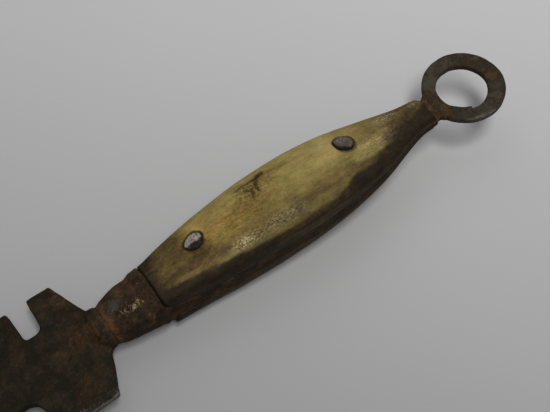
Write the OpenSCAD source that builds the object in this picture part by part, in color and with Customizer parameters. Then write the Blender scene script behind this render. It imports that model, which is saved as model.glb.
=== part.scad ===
// Notched setting iron: a flat iron plate with notched edges on a horn-scaled handle with a hanging ring.
// Millimetres. +X runs from the plate to the ring, +Z is square to the flat of the plate.
// The origin is under the middle of the tool's length, level with the belly of the lower scale.

/* [Head plate] */
// Width across the two notched edges
plate_w = 43; // [38:0.5:56]
// Thickness of the plate
plate_t = 3.2; // [2.4:0.1:4.2]
// Upper edge from the shoulder corner to the square notch
first_land = 8; // [5:0.5:14]
// Width of the square notch
square_notch_w = 6.6; // [4.6:0.2:10]
// Upper edge between the square notch and the narrow notch
middle_land = 16.5; // [10:0.5:26]
// Width of the narrow notch
narrow_notch_w = 5; // [4.6:0.2:8]
// Upper edge from the narrow notch to the far end
end_land = 11; // [8:0.5:20]
// Depth of the square and narrow notches
notch_depth = 10.2; // [5:0.2:13]
// Radius in the bottom corners of those two notches
notch_r = 2; // [0.4:0.1:2.2]
// Lower edge from the shoulder corner to the round notch
lower_land = 19.5; // [8:0.5:24]
// Width of the round-bottomed notch
round_notch_w = 9; // [6:0.5:14]
// Depth of the round-bottomed notch
round_notch_depth = 13.4; // [8:0.2:18]
// Rounding of the far corners
end_r = 5; // [2:0.5:7]
// Rounding of the shoulder corners
shoulder_r = 1.2; // [0.4:0.1:3]
// Length over which the shoulders slope back to the bead
shoulder_run = 4.7; // [2:0.1:8]

/* [Bead and bolster] */
// Diameter of the bead between plate and bolster
bead_d = 13.8; // [11:0.2:15]
// Length of the bead
bead_l = 3.5; // [2.8:0.1:5]
// Rounding of the bead's rim
bead_r = 1.3; // [0.4:0.1:1.3]
// Length of the ramp that thickens the plate towards the bead
ramp_l = 8; // [3:0.5:9]
// Diameter of the round tenon that holds the plate in the bolster
tenon_d = 8; // [5:0.5:10]
// Length of the tenon
tenon_l = 9; // [5:0.5:12]
// Diameter of the bolster where it meets the bead
barrel_front_d = 13.6; // [11:0.2:15]
// Largest diameter of the bolster's barrel
barrel_d = 17.8; // [15.2:0.2:19]
// Length of the barrel
barrel_l = 12.3; // [8:0.1:18]
// Length of the straight run behind the barrel's arc
barrel_straight = 2.4; // [1:0.1:5]
// Diameter of the flange behind the barrel
flange_d = 20; // [19.4:0.2:26]
// Thickness of the flange
flange_l = 4.4; // [2.5:0.1:7]
// Rounding of the flange's rim
flange_r = 1.2; // [0.2:0.1:1.2]

/* [Tang and scales] */
// Length of the horn scales
scale_l = 108.9; // [95:0.1:130]
// Gap between the flange and the front end of each scale
scale_gap = 0.3; // [0.1:0.1:1]
// Width of the grip at its widest
grip_w = 27; // [22:0.5:34]
// Distance of the widest place from the flange
widest_at = 55; // [40:1:74]
// Width of the grip at the flange
front_w = 15.8; // [12:0.2:16.4]
// Width of the grip at the tail
tail_w = 10.8; // [8:0.2:12]
// Thickness of the grip at its deepest
grip_t = 24; // [20:0.2:30]
// Distance of the deepest place from the flange
deepest_at = 42; // [30:1:60]
// Thickness of the grip at the flange
front_t = 17; // [14:0.2:18]
// Thickness of the grip at the tail
tail_t = 8.6; // [7:0.2:12]
// Rounding of the scales' tail ends
tail_r = 2; // [0.5:0.1:2.5]
// Squareness of the upper scale's cross-section at the flange, where 2 is an ellipse
upper_power = 4.8; // [2.4:0.1:6]
// The same of the lower scale
lower_power = 3.2; // [2.4:0.1:6]
// The same of both scales at the tail
tail_power = 2.8; // [2.2:0.1:4]
// Thickness of the tang at the flange
tang_front_t = 5.6; // [3:0.1:6.4]
// Thickness of the tang at the tail
tang_tail_t = 2.8; // [2:0.1:4]
// Radius where the tang runs into the flange
root_r = 2.5; // [1:0.1:3]
// Gap between the tang and the bed of each scale
bed_gap = 0.05; // [0.02:0.01:0.2]

/* [Rivets] */
// Diameter of the rivets
rivet_d = 4; // [3:0.1:5]
// Diameter of the peened heads
head_d = 6.6; // [5.6:0.1:8]
// Height of the heads above the horn
head_proud = 0.7; // [0.3:0.1:1.5]
// Depth of the flat seat under each head
seat_depth = 0.5; // [0.3:0.1:1]
// Distance of the front rivet from the centre line
front_rivet_side = 2.4; // [0:0.1:4]
// Distance of the front rivet from the flange
front_rivet_at = 18.2; // [12:0.1:30]
// Distance of the rear rivet from the flange
rear_rivet_at = 76.6; // [60:0.1:86]
// Distance of the rear rivet from the centre line
rear_rivet_side = 3.4; // [0:0.1:4]
// Radial clearance of the rivets and the tenon in their holes
fit_gap = 0.05; // [0.02:0.01:0.1]

/* [Hanging ring] */
// Outside diameter of the ring
ring_od = 28.4; // [24:0.2:40]
// Diameter of the ring's hole
ring_id = 17.6; // [12:0.2:22]
// Thickness of the ring
ring_t = 2.6; // [2:0.1:4]
// Shift of the hole towards the handle, which leaves the far side wider
hole_shift = 0.7; // [0:0.05:1]
// Length of bare neck between the scales and the ring
neck_l = 2.4; // [1:0.1:8]
// Width of the neck where it spreads against the ring
neck_w = 13; // [12.2:0.2:18]
// Gap at the weld between neck and ring
weld_gap = 0.05; // [0.02:0.01:0.2]

/* [Hidden] */
$fn = 96;
iron = "#3f3128";
horn = "#b29a5b";
rivet_iron = "#6d6862";
// Overrun that keeps cuts and joints clean, and a smaller one under a surface
lap = 1;
sink = 0.2;
// Stations along a scale, and facets over its crown
stations = 44;
crown_facets = 30;
// Facets in a rounded corner of an outline
corner_facets = 8;
// How late the grip narrows and thins behind its fullest place
width_lag = 1.3;
depth_lag = 1;

// Places along the tool, measured from the flange's rear face
handle_l = scale_gap + scale_l;
ring_at = handle_l + neck_l + ring_od / 2;
seam_at = -flange_l - barrel_l;
bead_front = seam_at - bead_l;
shoulder_at = bead_front - shoulder_run;
plate_l = first_land + square_notch_w + middle_land + narrow_notch_w + end_land;
plate_end = shoulder_at - plate_l;
tool_mid = (plate_end + ring_at + ring_od / 2) / 2;
mid_z = grip_t / 2;

// Each rivet's place on the grip: along it, and beside its centre line
front_rivet_place = [front_rivet_at, front_rivet_side];
rear_rivet_place = [rear_rivet_at, rear_rivet_side];
rivet_places = [front_rivet_place, rear_rivet_place];

// Grip outline: a parabola up to the fullest place, then a late cosine down to the tail
function swell(d, at, front, full, tail, lag) =
    d < at
    ? full - (full - front) * pow(1 - d / at, 2)
    : tail + (full - tail) * (1 + cos(180 * pow((d - at) / (handle_l - at), lag))) / 2;
function half_width(d) = swell(d, widest_at, front_w / 2, grip_w / 2, tail_w / 2, width_lag);
function half_depth(d) = swell(d, deepest_at, front_t / 2, grip_t / 2, tail_t / 2, depth_lag);

// Rise of a quarter-round of radius r at distance d from its upright face
function quarter_round(d, r) = d < r ? r - sqrt(r * r - (r - d) * (r - d)) : 0;

// Tapered tang: half thickness, and the face it turns up into at the flange
function tang_half(d) = (tang_front_t + (tang_tail_t - tang_front_t) * d / handle_l) / 2;
function bed(d) = tang_half(d) + bed_gap + quarter_round(d, root_r + scale_gap);
function crown(d) = half_depth(d) - quarter_round(handle_l - d, tail_r);

// Squareness of a scale's cross-section, which grows rounder towards the tail
function squareness(d, front_power) = front_power + (tail_power - front_power) * d / handle_l;

// Height of the horn over a point beside the centre line
function horn_top(d, y, front_power) =
    let (p = squareness(d, front_power))
    bed(d) + (crown(d) - bed(d)) * pow(1 - pow(y / half_width(d), p), 1 / p);

// One point of a scale's cross-section, at an angle round its crown
function signed_power(v, p) = sign(v) * pow(abs(v), p);
function section_point(d, a, front_power) =
    let (p = 2 / squareness(d, front_power))
    [d, half_width(d) * signed_power(cos(a), p), bed(d) + (crown(d) - bed(d)) * pow(abs(sin(a)), p)];

// Points of an arc of radius r that rounds the corner b between a and c
function unit(v) = v / norm(v);
function rounded(a, b, c, r) =
    let (
        u = unit(a - b),
        v = unit(c - b),
        half = acos(u * v) / 2,
        middle = b + unit(u + v) * r / sin(half),
        start = b + u * r / tan(half) - middle,
        turn = (180 - 2 * half) * sign(u[0] * v[1] - u[1] * v[0])
    )
    [for (i = [0 : corner_facets])
        let (w = -turn * i / corner_facets)
        middle + [start[0] * cos(w) - start[1] * sin(w), start[0] * sin(w) + start[1] * cos(w)]];

// Moves a piece from the flange's frame to the tool's frame
module in_tool() {
    translate([-tool_mid, 0, mid_z]) children();
}

// Turns a solid of revolution from +Z to +X
module along_x(at) {
    translate([at, 0, 0]) rotate([0, 90, 0]) children();
}

module rivet_holes(d) {
    for (place = rivet_places)
        translate(place) cylinder(d = d, h = 2 * grip_t, center = true);
}

// Outline of the plate without its notches
module plate_blank() {
    top = plate_w / 2;
    neck = [bead_front + bead_l / 2, (bead_d - bead_l) / 2];
    far = [plate_end, top];
    shoulder = [shoulder_at, top];
    edge = concat(
        rounded([plate_end, 0], far, shoulder, end_r),
        rounded(far, shoulder, neck, shoulder_r),
        [neck]
    );
    for (side = [0, 1]) mirror([0, side]) polygon(concat(edge, [[neck[0], -lap], [plate_end, -lap]]));
}

// Notch with a flat bottom and rounded corners, cut down from y = 0
module flat_notch(w, depth, r) {
    translate([r, -depth]) square([w - 2 * r, depth + lap]);
    translate([0, r - depth]) square([w, depth - r + lap]);
    for (x = [r, w - r]) translate([x, r - depth]) circle(r);
}

// Notch with a half-round bottom, cut up from y = 0
module round_notch(w, depth) {
    translate([0, -lap]) square([w, depth - w / 2 + lap]);
    translate([w / 2, depth - w / 2]) circle(d = w);
}

module notched_plate() {
    square_at = shoulder_at - first_land - square_notch_w;
    narrow_at = square_at - middle_land - narrow_notch_w;
    difference() {
        plate_blank();
        translate([square_at, plate_w / 2]) flat_notch(square_notch_w, notch_depth, notch_r);
        translate([narrow_at, plate_w / 2]) flat_notch(narrow_notch_w, notch_depth, notch_r);
        translate([shoulder_at - lower_land - round_notch_w, -plate_w / 2])
            round_notch(round_notch_w, round_notch_depth);
    }
}

// Hollow-sided flare from the plate's faces up to the bead
module root_ramp() {
    inner = plate_t / 2 - sink;
    rise = bead_d / 2 - bead_r - inner;
    sweep = (ramp_l * ramp_l + rise * rise) / (2 * rise);
    along_x(bead_front + bead_r - ramp_l) difference() {
        cylinder(r = inner + rise, h = ramp_l);
        rotate_extrude() translate([inner + sweep, 0]) circle(sweep);
    }
}

// Disc with both rims rounded
module soft_disc(d, l, r) {
    rotate_extrude() {
        square([d / 2 - r, l]);
        translate([0, r]) square([d / 2, l - 2 * r]);
        for (z = [r, l - r]) translate([d / 2 - r, z]) circle(r);
    }
}

module head_plate() {
    color(iron) in_tool() {
        linear_extrude(plate_t, center = true) notched_plate();
        root_ramp();
        along_x(bead_front) soft_disc(bead_d, bead_l, bead_r);
        along_x(seam_at - lap) cylinder(d = tenon_d, h = tenon_l + lap);
    }
}

// Barrel that swells in one arc from the bead to its fullest place, then runs straight to the flange
module barrel() {
    full_at = barrel_l - barrel_straight;
    rise = (barrel_d - barrel_front_d) / 2;
    sweep = (full_at * full_at + rise * rise) / (2 * rise);
    along_x(seam_at) rotate_extrude() intersection() {
        square([barrel_d / 2, barrel_l + lap]);
        union() {
            translate([barrel_d / 2 - sweep, full_at]) circle(sweep, $fn = 360);
            translate([0, full_at]) square([barrel_d / 2, barrel_l + lap - full_at]);
        }
    }
}

// Tang: the grip's outline seen from above, thinned by the taper seen from the side
module tang() {
    steps = [for (i = [0 : stations]) handle_l * i / stations];
    root = [for (i = [0 : corner_facets]) root_r * (1 - cos(90 * i / corner_facets))];
    outline = [for (d = steps) [d, half_width(d)]];
    profile = concat(
        [[-lap, tang_half(0) + root_r]],
        [for (d = root) [d, tang_half(d) + quarter_round(d, root_r)]],
        [[handle_l, tang_half(handle_l)]]
    );
    intersection() {
        linear_extrude(flange_d, center = true)
            for (side = [0, 1]) mirror([0, side])
                polygon(concat([[-lap, -lap], [-lap, front_w / 2]], outline, [[handle_l, -lap]]));
        rotate([90, 0, 0]) linear_extrude(2 * grip_w, center = true)
            for (side = [0, 1]) mirror([0, side])
                polygon(concat([[-lap, -lap]], profile, [[handle_l, -lap]]));
    }
}

// Tail of the tang, spread to hug the ring
module tail_neck() {
    reach = sqrt(pow(ring_od / 2, 2) - pow(neck_w / 2, 2));
    linear_extrude(tang_tail_t, center = true) difference() {
        polygon([
            [handle_l - lap, -tail_w / 2], [ring_at - reach, -neck_w / 2],
            [ring_at - reach, neck_w / 2], [handle_l - lap, tail_w / 2]
        ]);
        translate([ring_at, 0]) circle(d = ring_od + 2 * weld_gap);
    }
}

module bolster_and_tang() {
    color(iron) in_tool() difference() {
        union() {
            barrel();
            along_x(-flange_l) soft_disc(flange_d, flange_l, flange_r);
            tang();
            tail_neck();
        }
        along_x(seam_at - lap) cylinder(d = tenon_d + 2 * fit_gap, h = tenon_l + scale_gap + lap);
        rivet_holes(rivet_d + 2 * fit_gap);
    }
}

module hanging_ring() {
    color(iron) in_tool() translate([ring_at, 0, 0]) difference() {
        cylinder(d = ring_od, h = ring_t, center = true);
        translate([-hole_shift, 0, 0]) cylinder(d = ring_id, h = ring_t + 2 * lap, center = true);
    }
}

// Crowned scale on the upper face of the tang, lofted through its cross-sections
module scale_body(front_power) {
    n = crown_facets + 1;
    steps = [for (i = [0 : stations]) let (t = i / stations) scale_gap + scale_l * (1 - cos(180 * t)) / 2];
    points = [for (d = steps) for (j = [0 : crown_facets])
        section_point(d, 180 * j / crown_facets, front_power)];
    sides = [for (i = [0 : stations - 1]) for (j = [0 : crown_facets])
        let (a = i * n + j, b = i * n + (j + 1) % n)
        each [[a, a + n, b], [b, a + n, b + n]]];
    front = [for (j = [0 : crown_facets]) j];
    back = [for (j = [crown_facets : -1 : 0]) stations * n + j];
    polyhedron(points, concat(sides, [front, back]));
}

// Height of a rivet head's seat above the middle of the tang
function seat_z(place, front_power) = horn_top(place[0], place[1], front_power) - seat_depth;

module horn_scale(front_power) {
    difference() {
        scale_body(front_power);
        rivet_holes(rivet_d + 2 * fit_gap);
        for (place = rivet_places)
            translate([place[0], place[1], seat_z(place, front_power)])
                cylinder(d = head_d + 2 * fit_gap, h = grip_t);
    }
}

module upper_horn_scale() {
    color(horn) in_tool() horn_scale(upper_power);
}

module lower_horn_scale() {
    color(horn) in_tool() mirror([0, 0, 1]) horn_scale(lower_power);
}

// One end of a rivet: half of its shank, and a head peened into a low dome
module half_rivet(seat) {
    head_h = seat_depth + head_proud;
    dome = (pow(head_d / 2, 2) + head_proud * head_proud) / (2 * head_proud);
    translate([0, 0, -lap]) cylinder(d = rivet_d, h = seat + lap + sink);
    translate([0, 0, seat]) intersection() {
        cylinder(d = head_d, h = head_h);
        translate([0, 0, head_h - dome]) sphere(dome);
    }
}

module rivet(place) {
    color(rivet_iron) in_tool() translate(place) {
        half_rivet(seat_z(place, upper_power));
        mirror([0, 0, 1]) half_rivet(seat_z(place, lower_power));
    }
}

module front_rivet() {
    rivet(front_rivet_place);
}

module rear_rivet() {
    rivet(rear_rivet_place);
}

head_plate();
bolster_and_tang();
hanging_ring();
upper_horn_scale();
lower_horn_scale();
front_rivet();
rear_rivet();
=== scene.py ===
import itertools
import math

import bpy
import numpy as np
from mathutils import Euler, Matrix, Vector


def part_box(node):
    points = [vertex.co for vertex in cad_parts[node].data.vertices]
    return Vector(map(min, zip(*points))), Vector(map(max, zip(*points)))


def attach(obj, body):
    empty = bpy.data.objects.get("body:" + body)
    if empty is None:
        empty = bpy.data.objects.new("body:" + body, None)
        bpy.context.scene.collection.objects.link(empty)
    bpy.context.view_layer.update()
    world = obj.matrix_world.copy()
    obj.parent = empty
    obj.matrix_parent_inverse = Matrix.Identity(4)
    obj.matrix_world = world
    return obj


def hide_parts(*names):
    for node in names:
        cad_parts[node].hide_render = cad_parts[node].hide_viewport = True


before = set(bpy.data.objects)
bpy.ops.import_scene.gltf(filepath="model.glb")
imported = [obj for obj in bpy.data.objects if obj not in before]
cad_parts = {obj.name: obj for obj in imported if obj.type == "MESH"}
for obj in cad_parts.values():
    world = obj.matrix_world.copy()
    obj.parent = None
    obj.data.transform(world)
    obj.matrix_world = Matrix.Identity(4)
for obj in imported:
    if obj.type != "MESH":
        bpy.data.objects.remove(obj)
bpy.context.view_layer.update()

# Sizes are in millimetres in the CAD model's frame, with heights from the tool's middle plane
MM = 0.001


def node_box(node):
    """Lowest and highest corner of a CAD node in millimetres."""
    lo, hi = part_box(node)
    return np.array(lo) / MM, np.array(hi) / MM


plate_lo, plate_hi = node_box("head_plate")
ring_lo, ring_hi = node_box("hanging_ring")
horn_lo, horn_hi = node_box("upper_horn_scale")
mid_z = (ring_lo[2] + ring_hi[2]) / 2

# Places along the tool
scale_gap = 0.3
flange_rear = horn_lo[0] - scale_gap
handle_l = horn_hi[0] - flange_rear
seam = node_box("bolster_and_tang")[0][0]

# Plate and the bead behind it
plate_t = 3.2
plate_half = plate_hi[1]
bead_l = 3.5
bead_front = seam - bead_l
flare_l = 13
shoulder_x = bead_front - 4.7
# The plate stands a little off the turned axis
plate_shift = 0.7
tenon_r = 4
tenon_l = 9
tenon_gap = 0.05

# Turned profiles: distance from the flange's rear face, and radius
bead_profile = [
    (-20.5, 6.3), (-19.8, 6.4), (-19.2, 6.8), (-18.5, 7.0), (-17.9, 7.0), (-17.3, 6.85), (-16.6, 6.55),
    (-16.3, 6.45)]
far_profile = [
    (-16.8, 6.5), (-16.2, 6.75), (-15.2, 7.2), (-13.5, 7.9), (-11.0, 8.5), (-8.0, 8.85), (-5.8, 8.8),
    (-4.9, 8.85), (-4.2, 9.3), (-3.2, 9.65), (-1.5, 9.75), (-0.4, 9.75), (0.2, 9.75)]
near_profile = [
    (-16.8, 6.5), (-16.2, 6.7), (-13.5, 7.7), (-11.0, 8.3), (-8.0, 8.75), (-5.0, 9.1), (-3.0, 9.45),
    (-1.0, 9.6), (0.2, 9.5)]
turning_shift = 0.35

# Grip: tang and horn scales
grip_half = horn_hi[1]
widest_at = 55
front_half = 7.9
tail_half = 5.4
deep_half = horn_hi[2] - mid_z
deepest_at = 42
front_deep = 8.5
tail_deep = 4.3
tail_round = 2
upper_power = 4.8
lower_power = 3.2
tail_power = 2.8
tang_front_half = 2.8
tang_tail_half = 1.4
root_r = 2.5
bed_gap = 0.05
width_lag = 1.3
depth_lag = 1

# Ring
ring_x = (ring_lo[0] + ring_hi[0]) / 2
ring_r = (ring_hi[0] - ring_lo[0]) / 2
ring_half_t = (ring_hi[2] - ring_lo[2]) / 2
hole_r = 8.8
hole_x = ring_x - 0.7


# Arithmetic on arrays


def step(lo, hi, v):
    """Smooth step from 0 at lo to 1 at hi."""
    t = np.clip((v - lo) / (hi - lo), 0, 1)
    return t * t * (3 - 2 * t)


def bump(v, middle, width):
    """Bell of height 1 round a middle value."""
    return np.exp(-(((v - middle) / width) ** 2))


def noise(points, size, seed):
    """Gradient noise of about -1 to 1 at points, with features of a size in millimetres."""
    p = points / size
    base = np.floor(p).astype(np.int64)
    f = p - base
    w = f * f * f * (f * (f * 6 - 15) + 10)
    total = np.zeros(len(p))
    for corner in itertools.product((0, 1), repeat=3):
        c = np.array(corner)
        # Gradient from a hash of the lattice corner
        h = (base + c) @ [374761393, 668265263, 1274126177] + seed * 974634777
        h = h & 0xFFFFFFFF
        h = ((h ^ (h >> 13)) * 1103515245) & 0xFFFFFFFF
        h = ((h ^ (h >> 15)) * 374761393) & 0xFFFFFFFF
        grad = np.stack([(h >> s & 255) / 127.5 - 1 for s in (0, 8, 16)], -1)
        weight = np.prod(np.where(c, w, 1 - w), axis=1)
        total += weight * ((f - c) * grad).sum(1)
    return total * 1.5


def dents(points, seed, *layers):
    """Sum of noises, each with its height and size, whose seeds count up."""
    return sum(height * noise(points, size, seed + i) for i, (height, size) in enumerate(layers))


def softened(values, width, reach, ends):
    """Values evened out by a bell of a width, with ends that go on level (edge) or round (wrap)."""
    bell = bump(np.arange(-reach, reach + 1), 0, width)
    return np.convolve(np.pad(values, reach, ends), bell / bell.sum(), "valid")


def curve(points, soften=0.45, gap=0.05):
    """Softened line through points, as a function."""
    x, y = np.array(points, float).T
    fine = np.arange(x[0] - 3 * soften, x[-1] + 3 * soften, gap)
    soft = softened(np.interp(fine, x, y), soften / gap, int(2.5 * soften / gap), "edge")
    return lambda v: np.interp(v, fine, soft)


def smooth_union(a, b, k):
    """Union of two distance fields with a fillet of about k."""
    h = np.clip(0.5 + 0.5 * (b - a) / k, 0, 1)
    return b + (a - b) * h - k * h * (1 - h)


def rounded_both(u, v, r):
    """Overlap of two distance fields with the edge between them rounded to r."""
    u = u + r
    v = v + r
    return np.hypot(np.maximum(u, 0), np.maximum(v, 0)) + np.minimum(np.maximum(u, v), 0) - r


def filleted(corners, steps=6):
    """Outline through corners (x, y, radius), each corner rounded by an arc."""
    out = []
    n = len(corners)
    for i, (x, y, r) in enumerate(corners):
        b = np.array([x, y])
        u = np.array(corners[i - 1][:2]) - b
        v = np.array(corners[(i + 1) % n][:2]) - b
        u = u / np.linalg.norm(u)
        v = v / np.linalg.norm(v)
        if r == 0:
            out.append(b)
            continue
        half = math.acos(np.clip(u @ v, -1, 1)) / 2
        middle = b + (u + v) / np.linalg.norm(u + v) * r / math.sin(half)
        start = b + u * r / math.tan(half) - middle
        turn = -(math.pi - 2 * half) * np.sign(u[0] * v[1] - u[1] * v[0])
        for k in range(steps + 1):
            a = turn * k / steps
            out.append(middle + [start[0] * math.cos(a) - start[1] * math.sin(a),
                                 start[0] * math.sin(a) + start[1] * math.cos(a)])
    return np.array(out)


def stretch_distance(x0, y0, x1, y1, x, y):
    """Distance to a straight stretch, and the share of it up to the nearest place."""
    ex, ey = x1 - x0, y1 - y0
    t = np.clip(((x - x0) * ex + (y - y0) * ey) / (ex * ex + ey * ey + 1e-12), 0, 1)
    return np.hypot(x - x0 - t * ex, y - y0 - t * ey), t


def outline_distance(outline, x, y):
    """Signed distance to a closed outline, negative inside."""
    near = np.full(x.shape, np.inf)
    inside = np.zeros(x.shape, bool)
    for (x0, y0), (x1, y1) in zip(outline, np.roll(outline, -1, axis=0)):
        near = np.minimum(near, stretch_distance(x0, y0, x1, y1, x, y)[0])
        crosses = (y0 > y) != (y1 > y)
        inside ^= crosses & (x < x0 + (y - y0) * (x1 - x0) / (y1 - y0 or 1e-12))
    return np.where(inside, -near, near)


def path_distance(path, x, y):
    """Distance to an open line through points (x, y, half width), less its width there."""
    near = np.full(x.shape, np.inf)
    for (x0, y0, w0), (x1, y1, w1) in zip(path[:-1], path[1:]):
        away, t = stretch_distance(x0, y0, x1, y1, x, y)
        near = np.minimum(near, away - w0 - (w1 - w0) * t)
    return near


# Meshes


def surface_net(field, axes):
    """Points and quads of the zero surface of a distance field sampled on the grid of three axes."""
    inside = field < 0
    cells = tuple(n - 1 for n in field.shape)
    count = np.zeros(cells, int)
    for corner in itertools.product((0, 1), repeat=3):
        count += inside[tuple(slice(o, o + n) for o, n in zip(corner, cells))]
    mixed = (count > 0) & (count < 8)
    ids = np.full(cells, -1)
    ids[mixed] = np.arange(mixed.sum())
    total = np.zeros((mixed.sum(), 3))
    hits = np.zeros(mixed.sum())
    quads = []
    for axis in range(3):
        u, v = (axis + 1) % 3, (axis + 2) % 3
        low = np.take(field, range(cells[axis]), axis)
        high = np.take(field, range(1, cells[axis] + 1), axis)
        edge = np.argwhere((low < 0) != (high < 0))
        a = low[tuple(edge.T)]
        b = high[tuple(edge.T)]
        point = np.stack([axes[i][edge[:, i]] for i in range(3)], -1)
        reach = axes[axis][edge[:, axis] + 1] - axes[axis][edge[:, axis]]
        point[:, axis] += a / (a - b) * reach
        around = []
        for du, dv in ((1, 1), (0, 1), (0, 0), (1, 0)):
            cell = edge.copy()
            cell[:, u] -= du
            cell[:, v] -= dv
            near = ids[tuple(cell.T)]
            np.add.at(total, near, point)
            np.add.at(hits, near, 1)
            around.append(near)
        quad = np.stack(around, -1)
        quad[a > 0] = quad[a > 0][:, ::-1]
        quads.append(quad)
    return total / hits[:, None], np.vstack(quads)


def neighbour_mean(values, quads):
    """Mean of each point's neighbours along the quads' sides."""
    total = np.zeros_like(values)
    count = np.zeros(len(values))
    for k in range(4):
        a, b = quads[:, k], quads[:, (k + 1) % 4]
        for i, j in ((a, b), (b, a)):
            np.add.at(total, i, values[j])
            np.add.at(count, i, 1)
    return total / (count[:, None] if values.ndim == 2 else count)


def relaxed(points, quads, passes):
    """Evens out a net's small steps without shrinking it."""
    for _ in range(passes):
        for share in (0.5, -0.53):
            points = points + share * (neighbour_mean(points, quads) - points)
    return points


def normals(points, quads):
    """Unit normal at each point."""
    a, b, c, d = (points[quads[:, k]] for k in range(4))
    face = np.cross(c - a, d - b)
    out = np.zeros_like(points)
    for k in range(4):
        np.add.at(out, quads[:, k], face)
    return out / np.maximum(np.linalg.norm(out, axis=1), 1e-12)[:, None]


def forged(field, axes, passes):
    """Points, quads and normals of a distance field's surface, evened out by a number of passes."""
    points, quads = surface_net(field, axes)
    points = relaxed(points, quads, passes)
    return points, quads, normals(points, quads)


def edge_wear(points, quads, normal):
    """How sharply the surface turns outwards (positive) or inwards (negative) round each point."""
    turn = -((neighbour_mean(points, quads) - points) * normal).sum(1)
    for _ in range(2):
        turn = neighbour_mean(turn, quads)
    return turn


def tube(rows):
    """Points, side quads and end triangles of a tube through rows of points, closed by a tip at each end."""
    n = len(rows[0])
    k = np.arange(n)
    after = (k + 1) % n
    quads = np.vstack([np.stack([i * n + k, i * n + after, (i + 1) * n + after, (i + 1) * n + k], -1)
                       for i in range(len(rows) - 1)])
    points = np.vstack([*rows, rows[0].mean(0), rows[-1].mean(0)])
    tip = len(rows) * n
    last = tip - n
    ends = [[tip, b, a] for a, b in zip(k, after)]
    ends += [[tip + 1, last + a, last + b] for a, b in zip(k, after)]
    return points, quads, ends


def link(obj):
    """Puts a new object into the scene."""
    bpy.context.scene.collection.objects.link(obj)
    return obj


def make_piece(name, points, faces, masks, material, node):
    """Smooth-shaded mesh piece that stands for a CAD node. Heights are from the middle plane."""
    mesh = bpy.data.meshes.new(name)
    mesh.from_pydata(((points + [0, 0, mid_z]) * MM).tolist(), [], [list(f) for f in faces])
    mesh.polygons.foreach_set("use_smooth", np.ones(len(mesh.polygons), bool))
    for mask, values in masks.items():
        layer = mesh.attributes.new(mask, "FLOAT", "POINT")
        layer.data.foreach_set("value", np.clip(values, 0, 1).astype(np.float32))
    mesh.materials.append(material)
    obj = link(bpy.data.objects.new(name, mesh))
    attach(obj, "root")
    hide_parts(node)
    return obj


# Materials


class Shader:
    """Small wrapper that builds a node material round one Principled shader."""

    def __init__(self, name, **constants):
        self.material = bpy.data.materials.new(name)
        self.material.use_nodes = True
        self.tree = self.material.node_tree
        self.surface = self.tree.nodes["Principled BSDF"]
        self.place = self.tree.nodes.new("ShaderNodeTexCoord").outputs["Object"]
        self.finish(**constants)

    def put(self, socket, value):
        if isinstance(value, bpy.types.NodeSocket):
            self.tree.links.new(value, socket)
        else:
            socket.default_value = value

    def node(self, kind, inputs, **settings):
        made = self.tree.nodes.new(kind)
        for key, value in settings.items():
            setattr(made, key, value)
        for key, value in inputs.items():
            self.put(made.inputs[key], value)
        return made

    def finish(self, **sockets):
        """Sets or links the shader's own sockets."""
        for socket, value in sockets.items():
            self.put(self.surface.inputs[socket.replace("_", " ")], value)
        return self.material

    def mask(self, name):
        return self.node("ShaderNodeAttribute", {}, attribute_name=name).outputs["Fac"]

    def grain(self, size, detail=4, roughness=0.55, shift=0, distortion=0):
        """Noise of about 0 to 1 with features of a size in millimetres, one number or one per axis."""
        sizes = np.broadcast_to(size, 3)
        mapped = self.node("ShaderNodeMapping", {
            "Vector": self.place,
            "Location": (shift, shift * 0.7, shift * 1.3),
            "Scale": tuple(1 / (s * MM) for s in sizes),
        })
        return self.node("ShaderNodeTexNoise", {
            "Vector": mapped.outputs["Vector"], "Scale": 1, "Detail": detail,
            "Roughness": roughness, "Distortion": distortion,
        }).outputs["Fac"]

    def swung(self, value, layers):
        """A value plus the swing of each layer about its middle, by weight."""
        for layer, weight in layers:
            swing = self.calc("MULTIPLY", self.calc("SUBTRACT", layer, 0.5), weight)
            value = self.calc("ADD", value, swing)
        return value

    def calc(self, operation, a, b=0.0, clamp=False):
        made = self.node("ShaderNodeMath", {0: a, 1: b}, operation=operation, use_clamp=clamp)
        return made.outputs["Value"]

    def scaled(self, value, lo, hi, to_lo=0.0, to_hi=1.0):
        """Straight, clamped change of range."""
        made = self.node("ShaderNodeMapRange", {
            "Value": value, "From Min": lo, "From Max": hi, "To Min": to_lo, "To Max": to_hi,
        })
        return made.outputs["Result"]

    def ramp(self, value, stops):
        made = self.node("ShaderNodeValToRGB", {"Fac": value})
        colours = made.color_ramp.elements
        while len(colours) < len(stops):
            colours.new(1)
        for element, (at, colour) in zip(colours, stops):
            element.position = at
            element.color = (*colour, 1)
        return made.outputs["Color"]

    def blend(self, share, a, b, how="MIX"):
        made = self.node("ShaderNodeMix", {}, data_type="RGBA", blend_type=how)
        self.put(made.inputs[0], share)
        for socket, value in ((made.inputs[6], a), (made.inputs[7], b)):
            self.put(socket, value if isinstance(value, bpy.types.NodeSocket) else (*value, 1))
        return made.outputs[2]

    def relief(self, height, depth, under=None):
        """Bump from a height of 0 to 1 that stands for a depth in millimetres."""
        inputs = {"Height": height, "Distance": depth * MM, "Strength": 1.0}
        if under is not None:
            inputs["Normal"] = under
        return self.node("ShaderNodeBump", inputs).outputs["Normal"]


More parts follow.
